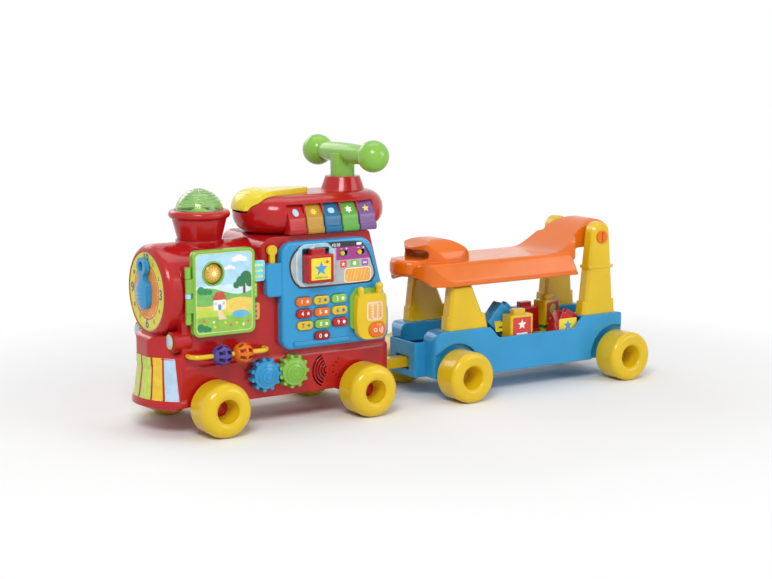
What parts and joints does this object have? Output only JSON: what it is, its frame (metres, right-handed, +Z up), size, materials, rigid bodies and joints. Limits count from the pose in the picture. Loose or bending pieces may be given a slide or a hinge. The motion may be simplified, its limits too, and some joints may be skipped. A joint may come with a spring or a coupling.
{
  "type": "ride on train",
  "caption": "Toy activity engine with clock, book, beads, gears, phone and piano keys, towing a sit-on wagon with a block tray and a hinged seat.",
  "frame": {"origin": "on the floor, at the middle of the whole train", "axes": "+X backwards along the train, from the engine to the wagon; -Y is the activity side; +Z up"},
  "size_m": [0.8959, 0.238, 0.4225],
  "materials": {
    "red": "glossy",
    "yellow": "glossy",
    "amber": "glossy",
    "blue": "glossy",
    "green": "glossy",
    "orange": "glossy",
    "purple": "glossy",
    "clear_green": "clear, ribbed",
    "clear_amber": "clear, faceted",
    "printed_card": "printed",
    "dark": "matt",
    "board": "matt",
    "cell": "satin",
    "steel": "brushed"
  },
  "bodies": {
    "engine": {"engine_shell": "red", "engine_base": "red", "battery_door": "dark", "batteries": "cell", "speaker": "dark", "circuit_board": "board", "chimney": "red", "chimney_lens": "clear_green", "clock_dial": "yellow", "cab_roof": "red", "handle": "green", "bead_bar": "yellow", "phone_panel": "blue", "handset_cradle": "green", "book_back": "green", "book_lens": "clear_amber"},
    "drawbar": {"drawbar": "yellow"},
    "wagon": {"wagon_body": "blue", "front_pillars": "yellow", "rear_pillars": "yellow", "seat_pins": "orange", "loose_blocks": "red"},
    "seat": {"seat": "orange"},
    "engine_front_wheelset": {"engine_front_wheels": "yellow", "engine_front_axle": "steel"},
    "engine_rear_wheelset": {"engine_rear_wheels": "yellow", "engine_rear_axle": "steel"},
    "wagon_front_wheelset": {"wagon_front_wheels": "yellow", "wagon_front_axle": "steel"},
    "wagon_rear_wheelset": {"wagon_rear_wheels": "yellow", "wagon_rear_axle": "steel"},
    "clock_hand": {"clock_hand": "blue"},
    "horn_button": {"horn_button": "yellow"},
    "piano_key_red": {"piano_key_red": "red"},
    "piano_key_amber": {"piano_key_amber": "amber"},
    "piano_key_blue": {"piano_key_blue": "blue"},
    "piano_key_green": {"piano_key_green": "green"},
    "piano_key_purple": {"piano_key_purple": "purple"},
    "book_cover": {"book_cover": "green"},
    "book_page": {"book_page": "printed_card"},
    "bead_purple": {"bead_purple": "purple"},
    "bead_orange": {"bead_orange": "orange"},
    "gear_blue": {"gear_blue": "blue"},
    "gear_green": {"gear_green": "green"},
    "reader_block": {"reader_block": "red"},
    "power_switch": {"power_switch": "yellow"},
    "mode_switch": {"mode_switch": "yellow"},
    "keypad_1": {"keypad_1": "orange"},
    "keypad_2": {"keypad_2": "yellow"},
    "keypad_3": {"keypad_3": "green"},
    "keypad_4": {"keypad_4": "red"},
    "keypad_5": {"keypad_5": "orange"},
    "keypad_6": {"keypad_6": "yellow"},
    "keypad_7": {"keypad_7": "yellow"},
    "keypad_8": {"keypad_8": "green"},
    "keypad_9": {"keypad_9": "red"},
    "keypad_0": {"keypad_0": "red"},
    "handset": {"handset": "yellow"},
    "handset_button": {"handset_button": "orange"},
    "selector_lever": {"selector_lever": "yellow"}
  },
  "joints": [
    {"name": "drawbar_yaw", "type": "hinge", "parent": "engine", "child": "drawbar", "pos_m": [-0.06, 0, 0.055], "axis": [0, 0, 1], "range_deg": [-12, 12]},
    {"name": "wagon_yaw", "type": "hinge", "parent": "drawbar", "child": "wagon", "pos_m": [0.04, 0, 0.055], "axis": [0, 0, 1], "range_deg": [-12, 12]},
    {"name": "seat_fold", "type": "hinge", "parent": "wagon", "child": "seat", "pos_m": [0.379, 0, 0.241], "axis": [0, 1, 0], "range_deg": [0, 115]},
    {"name": "book_cover_turn", "type": "hinge", "parent": "engine", "child": "book_cover", "pos_m": [-0.396, -0.0714, 0.208], "axis": [0, 0, -1], "range_deg": [0, 135]},
    {"name": "book_page_turn", "type": "hinge", "parent": "engine", "child": "book_page", "pos_m": [-0.396, -0.0714, 0.208], "axis": [0, 0, -1], "range_deg": [0, 67.5]},
    {"name": "clock_hand_turn", "type": "hinge", "parent": "engine", "child": "clock_hand", "pos_m": [-0.428, 0, 0.209], "axis": [1, 0, 0], "continuous": true},
    {"name": "gear_blue_turn", "type": "hinge", "parent": "engine", "child": "gear_blue", "pos_m": [-0.2725, -0.075, 0.08], "axis": [0, 1, 0], "continuous": true},
    {"name": "gear_green_turn", "type": "hinge", "parent": "engine", "child": "gear_green", "pos_m": [-0.2248, -0.075, 0.08], "axis": [0, 1, 0], "continuous": true},
    {"name": "bead_purple_slide", "type": "slide", "parent": "engine", "child": "bead_purple", "axis": [1, 0, 0], "range_m": [-0.016, 0.0035]},
    {"name": "bead_orange_slide", "type": "slide", "parent": "engine", "child": "bead_orange", "axis": [1, 0, 0], "range_m": [-0.0035, 0.015]},
    {"name": "handset_lift", "type": "slide", "parent": "engine", "child": "handset", "axis": [0, -1, 0], "range_m": [0, 0.06]},
    {"name": "reader_block_lift", "type": "slide", "parent": "engine", "child": "reader_block", "axis": [0, -1, 0], "range_m": [0, 0.04]},
    {"name": "selector_lever_slide", "type": "slide", "parent": "engine", "child": "selector_lever", "axis": [0, 0, -1], "range_m": [0, 0.008]},
    {"name": "power_switch_slide", "type": "slide", "parent": "engine", "child": "power_switch", "axis": [1, 0, 0], "range_m": [0, 0.007]},
    {"name": "mode_switch_slide", "type": "slide", "parent": "engine", "child": "mode_switch", "axis": [1, 0, 0], "range_m": [0, 0.007]},
    {"name": "horn_button_press", "type": "slide", "parent": "engine", "child": "horn_button", "axis": [0, 0, -1], "range_m": [0, 0.003], "stiffness_N_per_m": 2000, "springref_m": -0.003},
    {"name": "piano_key_red_press", "type": "slide", "parent": "engine", "child": "piano_key_red", "axis": [0, 1, 0], "range_m": [0, 0.003], "stiffness_N_per_m": 600, "springref_m": -0.002},
    {"name": "piano_key_amber_press", "type": "slide", "parent": "engine", "child": "piano_key_amber", "axis": [0, 1, 0], "range_m": [0, 0.003], "stiffness_N_per_m": 600, "springref_m": -0.002},
    {"name": "piano_key_blue_press", "type": "slide", "parent": "engine", "child": "piano_key_blue", "axis": [0, 1, 0], "range_m": [0, 0.003], "stiffness_N_per_m": 600, "springref_m": -0.002},
    {"name": "piano_key_green_press", "type": "slide", "parent": "engine", "child": "piano_key_green", "axis": [0, 1, 0], "range_m": [0, 0.003], "stiffness_N_per_m": 600, "springref_m": -0.002},
    {"name": "piano_key_purple_press", "type": "slide", "parent": "engine", "child": "piano_key_purple", "axis": [0, 1, 0], "range_m": [0, 0.003], "stiffness_N_per_m": 600, "springref_m": -0.002},
    {"name": "handset_button_press", "type": "slide", "parent": "handset", "child": "handset_button", "axis": [0, 1, 0], "range_m": [0, 0.002], "stiffness_N_per_m": 500, "springref_m": -0.001},
    {"name": "engine_front_wheels_turn", "type": "hinge", "parent": "engine", "child": "engine_front_wheelset", "pos_m": [-0.356, 0, 0.041], "axis": [0, 1, 0], "continuous": true},
    {"name": "engine_rear_wheels_turn", "type": "hinge", "parent": "engine", "child": "engine_rear_wheelset", "pos_m": [-0.102, 0, 0.041], "axis": [0, 1, 0], "continuous": true},
    {"name": "wagon_front_wheels_turn", "type": "hinge", "parent": "wagon", "child": "wagon_front_wheelset", "pos_m": [0.081, 0, 0.041], "axis": [0, 1, 0], "continuous": true},
    {"name": "wagon_rear_wheels_turn", "type": "hinge", "parent": "wagon", "child": "wagon_rear_wheelset", "pos_m": [0.407, 0, 0.041], "axis": [0, 1, 0], "continuous": true},
    {"name": "keypad_1_press", "type": "slide", "parent": "engine", "child": "keypad_1", "axis": [0, 1, 0], "range_m": [0, 0.0015], "stiffness_N_per_m": 400, "springref_m": -0.001},
    {"name": "keypad_2_press", "type": "slide", "parent": "engine", "child": "keypad_2", "axis": [0, 1, 0], "range_m": [0, 0.0015], "stiffness_N_per_m": 400, "springref_m": -0.001},
    {"name": "keypad_3_press", "type": "slide", "parent": "engine", "child": "keypad_3", "axis": [0, 1, 0], "range_m": [0, 0.0015], "stiffness_N_per_m": 400, "springref_m": -0.001},
    {"name": "keypad_4_press", "type": "slide", "parent": "engine", "child": "keypad_4", "axis": [0, 1, 0], "range_m": [0, 0.0015], "stiffness_N_per_m": 400, "springref_m": -0.001},
    {"name": "keypad_5_press", "type": "slide", "parent": "engine", "child": "keypad_5", "axis": [0, 1, 0], "range_m": [0, 0.0015], "stiffness_N_per_m": 400, "springref_m": -0.001},
    {"name": "keypad_6_press", "type": "slide", "parent": "engine", "child": "keypad_6", "axis": [0, 1, 0], "range_m": [0, 0.0015], "stiffness_N_per_m": 400, "springref_m": -0.001},
    {"name": "keypad_7_press", "type": "slide", "parent": "engine", "child": "keypad_7", "axis": [0, 1, 0], "range_m": [0, 0.0015], "stiffness_N_per_m": 400, "springref_m": -0.001},
    {"name": "keypad_8_press", "type": "slide", "parent": "engine", "child": "keypad_8", "axis": [0, 1, 0], "range_m": [0, 0.0015], "stiffness_N_per_m": 400, "springref_m": -0.001},
    {"name": "keypad_9_press", "type": "slide", "parent": "engine", "child": "keypad_9", "axis": [0, 1, 0], "range_m": [0, 0.0015], "stiffness_N_per_m": 400, "springref_m": -0.001},
    {"name": "keypad_0_press", "type": "slide", "parent": "engine", "child": "keypad_0", "axis": [0, 1, 0], "range_m": [0, 0.0015], "stiffness_N_per_m": 400, "springref_m": -0.001}
  ],
  "couplings": [
    {"joint": "book_page_turn", "follows": "book_cover_turn", "ratio": 0.5},
    {"joint": "gear_green_turn", "follows": "gear_blue_turn", "ratio": -1}
  ]
}
